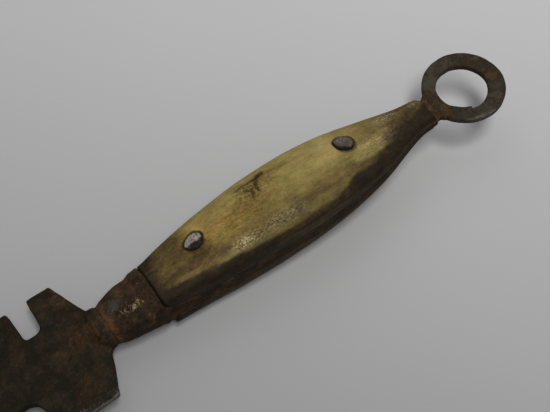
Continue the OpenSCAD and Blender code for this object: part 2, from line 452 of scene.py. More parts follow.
def horn_material():
    """Yellow-olive horn: faint fibres, grainy stained places, dark flanks, scuffs, cracks and some painted
    light.
    """
    s = Shader("horn", IOR=1.54, Specular_IOR_Level=0.08)
    bands = s.grain((45, 3.2, 3.2), detail=3, roughness=0.5, shift=23)
    fibres = s.grain((26, 1.3, 1.3), detail=4, roughness=0.55)
    threads = s.grain((30, 0.7, 0.7), detail=3, roughness=0.5, shift=17)
    cloud = s.grain((5, 3, 3), detail=5, roughness=0.62, shift=8, distortion=0.5)
    crumbs = s.grain((1.3, 0.9, 0.9), detail=5, roughness=0.7, shift=2)
    specks = s.grain((0.6, 0.45, 0.45), detail=2, shift=12)
    wrinkles = s.grain((1.5, 0.8, 0.8), detail=3, roughness=0.6, shift=31, distortion=1.2)
    chips = s.grain((0.75, 0.55, 0.55), detail=3, roughness=0.7, shift=43, distortion=0.5)
    stained = s.mask("warm")
    eroded = s.mask("rough")
    grainy = s.scaled(stained, 0.0, 1.0, 0.24, 0.55)
    layers = (
        (bands, 0.12), (fibres, 0.2), (threads, 0.15), (cloud, 0.46), (crumbs, grainy),
        (specks, s.calc("MULTIPLY", grainy, 0.6)), (wrinkles, s.calc("MULTIPLY", eroded, 1.5)),
        (chips, s.calc("MULTIPLY", eroded, -1.0)))
    tone = s.swung(s.mask("tone"), layers)
    colour = s.ramp(s.scaled(tone, 0.0, 1.0), [
        (0.0, (0.376, 0.300, 0.122)),
        (0.2, (0.262, 0.203, 0.070)),
        (0.4, (0.158, 0.117, 0.037)),
        (0.6, (0.073, 0.051, 0.020)),
        (0.8, (0.025, 0.0172, 0.0092)),
        (1.0, (0.009, 0.0064, 0.0042)),
    ])
    # Pinker and greener streaks of the horn
    streaks = s.scaled(s.grain((30, 4, 4), detail=2, shift=37), 0.35, 0.65)
    tint = s.ramp(streaks, [(0.0, (1.04, 0.97, 0.98)), (1.0, (0.97, 1.02, 0.92))])
    colour = s.blend(1.0, colour, tint, "MULTIPLY")
    blotch = s.grain((3.6, 2.2, 2.2), detail=5, roughness=0.65, shift=5, distortion=0.6)
    warm = s.calc("MULTIPLY", stained, s.scaled(blotch, 0.25, 0.6), clamp=True)
    colour = s.blend(warm, colour, (1.0, 0.79, 0.50), "MULTIPLY")
    # Pale scuffs, which on the near shoulder also stand for painted highlight
    pale = s.calc("MULTIPLY", s.mask("pale"), s.scaled(chips, 0.47, 0.62), clamp=True)
    colour = s.blend(pale, colour, (0.47, 0.415, 0.275))
    # Dirt, with painted shadow in the rivets' near gaps and below the front rivet
    dirt_and_shadow = s.calc("MULTIPLY", s.mask("dirt_and_shadow"), s.scaled(crumbs, 0.1, 0.42), clamp=True)
    colour = s.blend(dirt_and_shadow, colour, (0.032, 0.0205, 0.0105))
    rough = s.scaled(s.calc("ADD", fibres, s.mask("pale")), 0.3, 1.4, 0.5, 0.7)
    rough = s.calc("ADD", rough, s.calc("MULTIPLY", s.mask("dirt_and_shadow"), 0.3), clamp=True)
    normal = s.relief(fibres, 0.08)
    normal = s.relief(s.calc("MULTIPLY", crumbs, stained), 0.12, normal)
    normal = s.relief(s.calc("MULTIPLY", wrinkles, eroded), 0.5, normal)
    return s.finish(Base_Color=colour, Roughness=rough, Normal=normal)


def iron_material(name, tones, bare, shift, contrast=1.0, sparkle=0.6, slate=None):
    """Forged iron: mottled patina from black through brown to rust, bared by handling and lightened by
    painted glints.
    """
    s = Shader(name, Specular_IOR_Level=0.04)
    patch = s.grain(10, detail=3, roughness=0.55, shift=shift + 4, distortion=0.4)
    mottle = s.grain(3.4, detail=6, roughness=0.66, shift=shift, distortion=0.5)
    crust = s.grain(1.0, detail=5, roughness=0.7, shift=shift + 7)
    fine = s.grain(0.45, detail=3, roughness=0.6, shift=shift + 11)
    layers = [(patch, 1.0), (mottle, 1.7), (crust, 1.1), (fine, 0.5)]
    layers = [(layer, weight * contrast) for layer, weight in layers]
    level = s.scaled(s.swung(s.mask("rust"), layers), 0.0, 1.0)
    colour = s.ramp(level, list(zip((0.1, 0.35, 0.6, 0.8, 1.0), tones)))
    # Redder and greener places at the same depth of patina
    hue = s.scaled(s.grain(5, detail=4, roughness=0.6, shift=shift + 15, distortion=0.6), 0.38, 0.6)
    tint = s.ramp(hue, [(0.0, (0.955, 1.025, 1.0)), (1.0, (1.095, 0.97, 0.91))])
    colour = s.blend(1.0, colour, tint, "MULTIPLY")
    flecks = s.calc("MULTIPLY", s.scaled(fine, 0.56, 0.7, 0.0, 0.16), s.scaled(mottle, 0.45, 0.6))
    colour = s.blend(flecks, colour, bare)
    if slate:
        blued = s.swung(s.mask("blued"), ((mottle, 1.2), (crust, 1.0)))
        colour = s.blend(s.scaled(blued, 0.1, 1.1), colour, slate)
    # Bared metal where worn, and painted highlight where the mask holds glints and lit places
    wear_and_sheen = s.swung(s.mask("wear_and_sheen"), ((mottle, 0.8), (crust, 1.7 * sparkle), (fine, 1.3 * sparkle)))
    wear_and_sheen = s.scaled(wear_and_sheen, 0.45, 1.0)
    colour = s.blend(wear_and_sheen, colour, bare)
    metal = s.scaled(wear_and_sheen, 0.0, 1.0, 0.0, 0.55)
    rough = s.scaled(level, 0.0, 1.0, 0.5, 0.82)
    rough = s.calc("SUBTRACT", rough, s.calc("MULTIPLY", wear_and_sheen, 0.2))
    normal = s.relief(mottle, 0.4)
    normal = s.relief(crust, 0.4, normal)
    return s.finish(Base_Color=colour, Metallic=metal, Roughness=rough, Normal=normal)


horn = horn_material()
# Each iron's patina from black through brown to orange rust, and its bare metal
plate_iron = iron_material("plate_iron", [
    (0.0105, 0.0096, 0.006), (0.0165, 0.0129, 0.008), (0.026, 0.018, 0.0108), (0.039, 0.0242, 0.0132),
    (0.056, 0.031, 0.0145)], (0.105, 0.1, 0.08), 1)
# The bolster's bare metal is bright gold, for the painted glints on the barrel's top
bolster_iron = iron_material("bolster_iron", [
    (0.011, 0.0085, 0.006), (0.019, 0.0133, 0.0088), (0.032, 0.0206, 0.0128), (0.048, 0.0275, 0.0145),
    (0.085, 0.041, 0.017)], (0.34, 0.27, 0.14), 21, contrast=0.85, sparkle=1.1,
    slate=(0.046, 0.0445, 0.038))
ring_iron = iron_material("ring_iron", [
    (0.05, 0.045, 0.034), (0.036, 0.0295, 0.021), (0.026, 0.019, 0.0125), (0.045, 0.03, 0.0175),
    (0.06, 0.036, 0.0165)], (0.15, 0.14, 0.115), 41)
rivet_iron = iron_material("rivet_iron", [
    (0.009, 0.0068, 0.0052), (0.022, 0.017, 0.013), (0.05, 0.042, 0.033), (0.07, 0.06, 0.048),
    (0.085, 0.07, 0.055)], (0.34, 0.305, 0.27), 61, contrast=0.5, sparkle=1.1)


# Head plate


def grid(*spans):
    """Axes of a grid, each from spans (lowest, highest, spacing), and the three coordinate fields."""
    axes = [np.arange(lo, hi + gap, gap) for lo, hi, gap in spans]
    return axes, np.meshgrid(*axes, indexing="ij")


def plate_outline():
    """Plan of the notched plate: square and narrow notch on one side, a round one on the other."""
    top = plate_shift + plate_half
    low = plate_shift - plate_half
    neck_x, neck_y = seam - 0.9, 4.6
    end = plate_lo[0]
    # Each notch's rear and front side, and where its bottom lies
    square_rear, square_front = shoulder_x - 7.8, shoulder_x - 14.7
    square_taper = 0.5
    narrow_rear, narrow_front = shoulder_x - 31.1, shoulder_x - 36.1
    narrow_taper = 0.1
    narrow_floor = top - 10.2
    round_rear, round_front = shoulder_x - 19.5, shoulder_x - 28.5
    round_floor, round_r = low + 13.4, 4.45
    return filleted([
        (neck_x, neck_y, 0),
        (seam - 2.8, 7.7, 1.8),
        (shoulder_x + 0.3, top + 0.1, 0.6),
        (square_rear, top, 0.5),
        (square_rear - square_taper, 10.3, 2.3),
        (square_front + square_taper, 10.5, 1.9),
        (square_front, top, 0.9),
        (narrow_rear, top, 0.7),
        (narrow_rear - narrow_taper, narrow_floor, 1.9),
        (narrow_front + narrow_taper, narrow_floor, 1.9),
        (narrow_front, top, 0.7),
        (end, top, 5),
        (end, low, 5),
        (round_front, low, 0.7),
        (round_front, round_floor, round_r),
        (round_rear, round_floor, round_r),
        (round_rear, low, 0.7),
        (shoulder_x + 0.2, low, 1.0),
        (seam - 3.4, -8.9, 1.0),
        (neck_x, -neck_y, 0),
    ])


def make_head_plate():
    """Forged plate that flares into the bead, with the tenon that sits in the bolster."""
    reach = plate_half + plate_shift + 1
    axes, (x, y, z) = grid(
        (plate_lo[0] - 1.2, seam + tenon_l + 1, 0.4), (-reach, reach, 0.4), (-8.4, 8.4, 0.32))
    flat = outline_distance(plate_outline(), x[:, :, 0], y[:, :, 0])[:, :, None]
    slab = rounded_both(flat, np.abs(z) - plate_t / 2, 0.6)
    # The near edge is worn to a shallow bevel. Factors keep sloping fields close to true distances
    bevel_w, bevel_slope = 2.6, 0.35
    past_bevel = plate_shift - plate_half + bevel_w - y
    slab = np.maximum(slab, (bevel_slope * past_bevel + np.abs(z) - plate_t / 2) * 0.94)
    # The flare grows from inside the plate to the bead
    r = np.hypot(y - turning_shift, z)
    inner, outer = plate_t / 2 - 0.4, 6.3
    flare_end = bead_front + 0.5
    t = np.clip((x - flare_end) / flare_l + 1, 0, 1)
    flare = (r - inner - (outer - inner) * t ** 1.35) * 0.75
    flare = np.maximum(flare, np.abs(x - flare_end + flare_l / 2) - flare_l / 2)
    # The bead runs a little way into the bolster, so that no groove opens at the seam
    sunk = 0.3
    bead_middle = seam + (sunk - bead_l) / 2
    bead_body = np.abs(x - bead_middle) - (bead_l + sunk) / 2
    roll = rounded_both(r - curve(bead_profile)(x - flange_rear), bead_body, 0.1)
    tenon = np.maximum(np.hypot(y, z) - tenon_r, np.abs(x - seam - tenon_l / 2) - tenon_l / 2)
    field = smooth_union(smooth_union(slab, flare, 2.0), roll, 1.2)
    field = np.maximum(field, x - seam - sunk)
    points, quads, normal = forged(np.minimum(field, tenon), axes, 2)
    outside = step(seam + 0.1, seam - 0.5, points[:, 0])
    dent = dents(points, 1, (0.2, 7), (0.1, 2.6), (0.04, 1.1))
    points = points + normal * (dent * outside)[:, None]
    wear = edge_wear(points, quads, normal)
    behind = points[:, 0] - flange_rear
    root = step(-32, -23, behind)
    # Besides edge wear, the wear mask holds painted light: the near side face is painted lighter as if lit,
    # the near edge's wear carries painted glints, and painted glints lie on the bead's crest and one spot on
    # top
    near_side = step(-0.15, -0.5, normal[:, 1]) * step(-12, -18, points[:, 1])
    near_edge = step(-13, -20, points[:, 1])
    far_edge = bump(points[:, 0], shoulder_x + 0.5, 2.2) * step(6, 14, points[:, 1])
    bead_dark = bump(behind, -18.8, 0.8)
    glint = bump(behind, -22, 0.7) * bump(points[:, 1], 2.4, 1.2) * (points[:, 2] > 0)
    rust = 0.28 + 0.16 * step(-46, -24, behind) + 0.14 * root - 0.3 * bead_dark
    wear_and_sheen = np.clip(wear * 9, 0, 0.3) + 0.3 * near_side + 0.28 * near_edge + 0.34 * far_edge
    masks = {
        "rust": rust + 0.22 * step(-17.8, -16.9, behind) + 0.2 * noise(points, 9, 4),
        "wear_and_sheen": wear_and_sheen + 0.3 * bead_dark + 0.6 * glint,
    }
    return make_piece("forged_plate", points, quads, masks, plate_iron, "head_plate")


# Grip outline


def swell(d, at, front, full, tail, lag):
    """Parabola up to the fullest place, then a late cosine down to the tail."""
    before = full - (full - front) * (1 - np.minimum(d, at) / at) ** 2
    past = np.clip((d - at) / (handle_l - at), 0, 1)
    after = tail + (full - tail) * (1 + np.cos(math.pi * past ** lag)) / 2
    return np.where(d < at, before, after)


def half_width(d):
    """Half of the grip's width."""
    return swell(d, widest_at, front_half, grip_half, tail_half, width_lag)


def side_width(d, y, front_swell=0):
    """Half width on the side of y: the near side is a little hollow, then fuller before the tail."""
    near = half_width(d) - 0.35 * bump(d, 42, 25) + 0.6 * bump(d, 86, 9) - 0.3 * bump(d, 104, 5)
    near = near + front_swell * bump(d, 0, 12)
    far = half_width(d) + 0.22 * bump(d, 90, 9) - 0.5 * quarter_round(handle_l - d, 3.5)
    return np.where(y < 0, near, far)


def squareness(d, front_power):
    """Power of a scale's cross-section, an ellipse at 2 and squarer above that."""
    return front_power + (tail_power - front_power) * d / handle_l


def quarter_round(d, r):
    """Drop of a rounded edge of radius r, at a distance d from where it starts."""
    inside = np.clip(r - d, 0, r)
    return r - np.sqrt(r * r - inside ** 2)


def tang_half(d):
    """Half of the tang's thickness."""
    return tang_front_half + (tang_tail_half - tang_front_half) * np.clip(d / handle_l, 0, 1)


def near_lift(d, y):
    """Height by which the near edge of the tang's upper side stands higher at the front."""
    return 0.9 * bump(d, 0, 14) * step(-3, -8, y)


def bed(d):
    """Height of a scale's lower side, which follows the tang and its root fillet."""
    return tang_half(d) + bed_gap + quarter_round(d, root_r + scale_gap)


def crown(d):
    """Height of a scale's crest."""
    depth = swell(d, deepest_at, front_deep, deep_half, tail_deep, depth_lag)
    return depth - quarter_round(handle_l - d, tail_round)


# Bolster, tang and neck


def make_bolster():
    """Barrel, flange, tapered tang and the neck that meets the ring, forged in one."""
    # The grid is finer round the forged ends and through the tang's thickness
    tail = flange_rear + handle_l
    xs = np.concatenate([
        np.arange(seam - 1, flange_rear + 4, 0.36), np.arange(flange_rear + 4, tail - 4, 0.8),
        np.arange(tail - 4, ring_x - 5, 0.36)])
    zs = np.concatenate([
        np.arange(-11.2, -4.6, 0.42), np.arange(-4.6, 4.6, 0.28), np.arange(4.6, 11.4, 0.42)])
    axes = [xs, np.arange(-grip_half - 1, grip_half + 1.2, 0.42), zs]
    x, y, z = np.meshgrid(*axes, indexing="ij")
    d = x - flange_rear
    r = np.hypot(y - turning_shift, z)
    near_side = step(1, -7, y)
    radius = curve(far_profile)(d) * (1 - near_side) + curve(near_profile)(d) * near_side
    # The flange's rear edge stands up close to the upper scale
    rear = flange_rear + scale_gap - 0.1
    body = np.abs(x - (seam + rear) / 2) - (rear - seam) / 2
    turned = rounded_both((r - radius) * 0.95, body, 0.12)
    thick = tang_half(d) + np.where(d > -0.5, quarter_round(np.maximum(d, 0), root_r), root_r)
    lip = tang_half(d) + 2.0 * step(3.5, 1.7, d) * step(-3, -8, y)
    thick = np.where(z > 0, thick + near_lift(d, y), np.maximum(thick, lip))
    wide = side_width(np.maximum(d, 0), y, front_swell=0.45)
    tang = rounded_both(np.abs(y) - wide, np.abs(z) - thick, 0.45)
    tang = np.maximum(tang, np.maximum(-1 - d, d - handle_l))
    weld = ring_x - ring_r
    neck_plan = filleted([
        (tail - 1.5, -5.6, 0), (tail + 0.9, -5.5, 0.8), (tail + 1.6, -4.7, 0.9), (weld + 3.4, -7.6, 0.6),
        (weld + 3.2, 0, 3), (weld + 3.0, 7.2, 0.6), (tail + 1.2, 4.3, 1.2), (tail - 1.5, 4.9, 0),
    ])
    flat = outline_distance(neck_plan, x[:, :, 0], y[:, :, 0])[:, :, None]
    neck = rounded_both(flat, np.abs(z) - tang_tail_half, 0.5)
    # The neck runs a little way into the ring's rim and has round tips
    overlap = 0.35
    neck = rounded_both(neck, ring_r - overlap - np.hypot(x - ring_x, y), 0.3)
    field = smooth_union(smooth_union(turned, tang, 1.0), neck, 0.8)
    bore = np.maximum(np.hypot(y, z) - tenon_r - tenon_gap, x - seam - tenon_l - 0.3)
    field = np.maximum(field, -bore)
    points, quads, normal = forged(field, axes, 2)
    px, py, pz = points.T
    behind = px - flange_rear
    far = np.hypot(py, pz)
    before = step(0.4, -0.4, behind)
    skin = before * step(tenon_r + 0.4, tenon_r + 1.2, far) * step(seam, seam + 0.5, px)
    rim = step(0.8, 0.2, half_width(behind) - np.abs(py)) * (1 - before)
    rough = np.max([skin, 0.6 * rim, step(tail - 0.5, tail + 0.5, px)], axis=0)
    dent = dents(points, 11, (0.2, 5), (0.12, 2.2), (0.04, 0.9))
    points = points + normal * (dent * rough)[:, None]
    wear = edge_wear(points, quads, normal)
    lean = np.degrees(np.arctan2(-py, pz))
    bare = bump(behind, -12.0, 2.6) * bump(lean, -6, 13)
    # Painted glints: a golden highlight on the barrel's top and bright flecks beside it, on bare worn metal
    crest = bump(behind, -6.5, 2.2) * bump(lean, 22, 9)
    flecks = bump(behind, -10.3, 1.8) * bump(lean, 19, 11)
    seam_rust = 0.4 * bump(behind, -15.8, 1.0) + 0.32 * bump(behind, -5.0, 0.9)
    strip = (1 - before) * (0.12 + 0.05 * bump(behind, 0, 16))
    rust = 0.43 + 0.09 * before + strip + seam_rust + 0.12 * bump(lean, -30, 30) * before
    masks = {
        "rust": rust + 0.15 * step(tail - 1, tail + 1, px) + 0.2 * noise(points, 6, 14),
        "wear_and_sheen": 0.8 * crest + 0.56 * flecks + np.clip(wear * 8, 0, 0.2) * before,
        "blued": bare,
    }
    return make_piece("forged_bolster", points, quads, masks, bolster_iron, "bolster_and_tang")


# Hanging ring


def make_ring():
    """Flat ring bent from bar, with the step where its end laps over beside the neck."""
    reach = ring_r + 0.9
    height = ring_half_t + 0.9
    axes, (x, y, z) = grid(
        (ring_x - reach, ring_x + reach, 0.3), (-reach, reach, 0.3), (-height, height, 0.26))
    flat_x, flat_y = x[:, :, 0], y[:, :, 0]
    turn = np.degrees(np.arctan2(flat_y, flat_x - hole_x))
    # Angle at which the bar's end laps over, and the step in the hole on either side of it
    lap, lap_in, lap_out = -110, 0.5, 0.45
    tongue = np.where(turn < lap, step(-165, -135, turn), 0)
    past = np.where(turn >= lap, step(-60, -100, turn), 0)
    hole = hole_r - lap_in * tongue + lap_out * past
    ring_points = np.stack([flat_x.ravel(), flat_y.ravel(), 0 * flat_x.ravel()], -1)
    waver = noise(ring_points, 7, 31).reshape(flat_x.shape)
    outer = np.hypot(flat_x - ring_x, flat_y) - ring_r - 0.12 * waver
    inner = hole + 0.15 * waver - np.hypot(flat_x - hole_x, flat_y)
    flat = np.maximum(outer, inner)[:, :, None]
    field = rounded_both(flat, np.abs(z) - ring_half_t, 0.6)
    points, quads, normal = forged(field, axes, 1)
    dent = dents(points, 32, (0.10, 4.5), (0.06, 1.8), (0.02, 0.8))
    points = points + normal * dent[:, None]
    wear = edge_wear(points, quads, normal)
    px, py, pz = points.T
    near_neck = step(ring_x - 8.5, ring_x - 12, px) * step(8, 5, np.abs(py))
    angle = np.degrees(np.arctan2(py, px - ring_x))
    grey = bump(angle, 120, 40) + 0.9 * bump(angle, -92, 38)
    brown = bump(angle, 5, 42) + 1.4 * near_neck
    # The band on the near outer edge is a painted highlight, added to the edge wear
    masks = {
        "rust": 0.46 - 0.3 * grey + 0.2 * brown + 0.2 * noise(points, 5, 35),
        "wear_and_sheen": np.clip(wear * 12, 0, 0.4) + 0.45 * step(-9, -13, py) * step(ring_x + 4, ring_x, px),
    }
    return make_piece("forged_ring", points, quads, masks, ring_iron, "hanging_ring")


# Rivets

front_outline = [
    (-3.6, 0.7), (-2.4, 1.8), (-0.7, 2.6), (1.7, 2.9), (3.4, 1.5), (3.4, 0.0), (2.2, -1.9), (-0.3, -2.8),
    (-2.2, -2.0), (-3.4, -0.5)]
rear_outline = [
    (-2.9, 2.4), (-1.3, 3.0), (0.1, 3.1), (1.6, 2.4), (3.4, 1.3), (3.8, 0.1), (3.0, -1.8), (1.1, -3.0),
    (-0.9, -2.6), (-2.7, -1.1), (-3.1, 0.6)]
# Each facet's slope along x and y, and its height
front_facets = [(0.10, -0.05, 0.0), (-0.18, 0.14, 0.10), (0.04, 0.28, 0.16), (0.22, -0.06, 0.16)]
rear_facets = [(0.02, 0.03, 0.0), (-0.05, -0.03, 0.02), (0.05, -0.08, 0.05), (0.03, 0.1, 0.1)]
# Each rivet's outline and facets, then the face's painted lit part: its direction, where it starts, its tone
# and its painted sheen
rivets = {
    "front_rivet": (front_outline, front_facets, (0.0, 1.0), -0.55, 0.35, 0.82),
    "rear_rivet": (rear_outline, rear_facets, (0.59, 0.81), -1.45, 0.67, 0.34),
}


def rivet_place(node):
    """Middle of a rivet in plan, and the heights of its two ends from the middle plane."""
    lo, hi = node_box(node)
    return (lo + hi) / 2, (hi[2] - mid_z, mid_z - lo[2])


def head_radius(outline, angles):
    """Radius of a head's outline at each angle, with its corners softened."""
    ring = np.radians(np.arange(360))
    radius = np.full(360, np.inf)
    for (x0, y0), (x1, y1) in zip(outline, np.roll(outline, -1, axis=0)):
        cross = x0 * y1 - x1 * y0
        towards = (y1 - y0) * np.cos(ring) - (x1 - x0) * np.sin(ring)
        hit = cross / np.where(np.abs(towards) < 1e-9, 1e-9, towards)
        radius = np.where((hit > 0) & (hit < radius), hit, radius)
    soft = softened(radius, 6, 15, "wrap")
    turn = np.append(ring, 2 * math.pi)
    return np.interp(angles % (2 * math.pi), turn, np.append(soft, soft[0]))


rivets_along = [rivet_place(node)[0][0] - flange_rear for node in rivets]


def make_rivet(node, name, seed):
    """Rivet hammered over at both ends: a shank between two flat-faceted, uneven heads."""
    outline, facets, towards, edge, tone, painted_sheen = rivets[node]
    place, ends = rivet_place(node)
    segments = 96
    angles = np.arange(segments) * 2 * math.pi / segments
    circle = np.stack([np.cos(angles), np.sin(angles)], -1)
    radius = head_radius(outline, angles)
    shank_r, head_t = 2, 1.2
    # The heads lie along the slope of the horn
    d = place[0] - flange_rear
    slope = crown(d + 0.5) - crown(d - 0.5)
    rows = []
    for side, top in zip((1, -1), ends):
        seat = top - head_t
        rim = []
        for share in np.linspace(0.06, 1, 16):
            px, py = share * radius * circle.T
            level = np.min([c - a * px - b * py for a, b, c in facets], axis=0) + slope * px
            fall = 0.45 * np.clip((share - 0.8) / 0.2, 0, 1) ** 2
            rim.append(np.stack([px, py, top - 0.1 + level - fall], -1))
        rim.append(np.column_stack([radius[:, None] * circle, seat + 0.15 + slope * radius * circle[:, 0]]))
        rim.append(np.column_stack([shank_r * circle, np.full(segments, seat)]))
        rows += rim if side > 0 else [row * [1, 1, -1] for row in rim[::-1]]
    points, quads, ends = tube(rows)
    dent = dents(points + place, seed, (0.05, 1.6), (0.03, 0.8))
    points[:, 2] += np.sign(points[:, 2]) * dent
    points[:, :2] += place[:2]
    beside = points[:, :2] - place[:2]
    share = np.hypot(*beside.T) / head_radius(outline, np.arctan2(beside[:, 1], beside[:, 0]))
    # Painted light and shade: the face is painted bright on its lit side and dark on its shaded side
    lit = beside @ towards + 0.3 * noise(points, 1.5, seed + 2)
    bright = step(0.97, 0.78, share) * step(edge - 0.6, edge + 0.6, lit)
    masks = {"rust": 0.3 + tone * bright, "wear_and_sheen": painted_sheen * bright}
    faces = quads[:, [0, 3, 2, 1]].tolist() + [[tip, b, a] for tip, a, b in ends]
    return make_piece(name, points, faces, masks, rivet_iron, node)


# Horn scales

# Depth to which the horn is let in under the rivets' heads
rivet_sink = 0.6
# Cracks: darkness, then distance along the grip, distance beside its centre line, and half width
crack_paths = [
    (1.0, [(38.0, 8.4, 0.05), (39.9, 8.8, 0.2), (43.4, 8.7, 0.25), (45.6, 8.6, 0.45), (47.2, 9.1, 0.85),
           (48.2, 9.4, 0.6)]),
    (0.6, [(48.3, 9.3, 0.3), (49.3, 8.7, 0.2), (51.4, 8.3, 0.15), (54.0, 7.9, 0.1), (56.5, 7.6, 0.05)]),
    (0.9, [(45.6, 8.4, 0.45), (44.5, 6.9, 0.45), (43.8, 5.4, 0.4), (43.6, 4.1, 0.15)]),
    (0.85, [(42.6, 5.8, 0.3), (41.9, 4.5, 0.42), (40.9, 2.7, 0.15)]),
    (0.6, [(40.6, 6.1, 0.05), (41.4, 5.6, 0.2), (42.6, 5.7, 0.2)]),
]


def stations(fine, coarse, places, reach):
    """Distances along the grip behind the flange's gap, closer together round places."""
    at = [scale_gap]
    while at[-1] < handle_l:
        near = any(abs(at[-1] - p) < reach for p in places)
        at.append(at[-1] + (fine if near else coarse))
    at = np.array(at)
    return scale_gap + (at - scale_gap) * (handle_l - scale_gap) / (at[-1] - scale_gap)


def section(d, front_power, front_swell, fitted, top_points, bed_points, soften):
    """Closed cross-section of a scale at distance d, evenly spaced, with its edges softened inwards.

    fitted is 1 for the scale that fits the tang's raised near edge, and 0 for the other.
    """
    base, height = bed(d), crown(d) - soften
    a = np.linspace(0, math.pi, 721)
    power = 2 / squareness(d, front_power)
    width = side_width(d, np.cos(a), front_swell) - soften
    y = width * np.sign(np.cos(a)) * np.abs(np.cos(a)) ** power
    foot = base + fitted * near_lift(d, y)
    z = foot + (height - foot) * np.abs(np.sin(a)) ** power
    tuck = 0.22 * np.exp(-(z - base) / 0.25)
    y = y - np.sign(y) * tuck
    # The near lower corner is worn round at the front
    corner = fitted * 0.7 * quarter_round(d - scale_gap, 2) * np.exp(-(z - foot) / 1.0)
    y = np.where(y < 0, y + corner, y)
    length = np.concatenate([[0], np.cumsum(np.hypot(np.diff(y), np.diff(z)))])
    even = np.linspace(0, length[-1], top_points)
    crest = np.stack([np.interp(even, length, y), np.interp(even, length, z)], -1)
    under = np.linspace(crest[-1, 0], crest[0, 0], bed_points + 2)[1:-1]
    return np.vstack([crest, np.stack([under, base + fitted * near_lift(d, under)], -1)])


def loft(at, front_power, front_swell, fitted, top_points, bed_points):
    """Points and faces of a scale's body, closed at both ends."""
    rows = []
    for d in at:
        soften = quarter_round(d - at[0], 0.12 if fitted else 0.4)
        yz = section(d, front_power, front_swell, fitted, top_points, bed_points, soften)
        rows.append(np.column_stack([np.full(len(yz), flange_rear + d), yz]))
    caps = []
    for row in (rows[0], rows[-1]):
        core = row.mean(0)
        caps.append([core + (row - core) * s for s in (0.75, 0.45, 0.15)])
    return tube(caps[0][::-1] + rows + caps[1])


def seen_place(d, y, z):
    """Place along and across the grip, seen on a plane through the axis that faces the camera."""
    eye_at, eye_side, eye_height = -23.0, 2.0, 279.3
    lean_y, lean_z = 0.896, 0.4445
    height = lean_y * z - lean_z * y
    spread = eye_height / (eye_height - height)
    return eye_at + (d - eye_at) * spread, eye_side + (lean_y * y + lean_z * z - eye_side) * spread


def crack_lines(points):
    """Distance to the nearest crack, and how dark the cracks are, at each point."""
    crack = np.full(len(points), np.inf)
    dark_line = np.zeros(len(points))
    bent_d = points[:, 0] - flange_rear + 0.4 * noise(points, 1.7, 54)
    bent_y = points[:, 1] + 0.35 * noise(points, 1.5, 55)
    ragged = 0.12 * noise(points, 0.7, 53)
    for darkness, path in crack_paths:
        line = path_distance(path, bent_d, bent_y) + ragged
        dark_line = np.maximum(dark_line, darkness * step(0.55, -0.25, line))
        crack = np.minimum(crack, line)
    return crack, dark_line


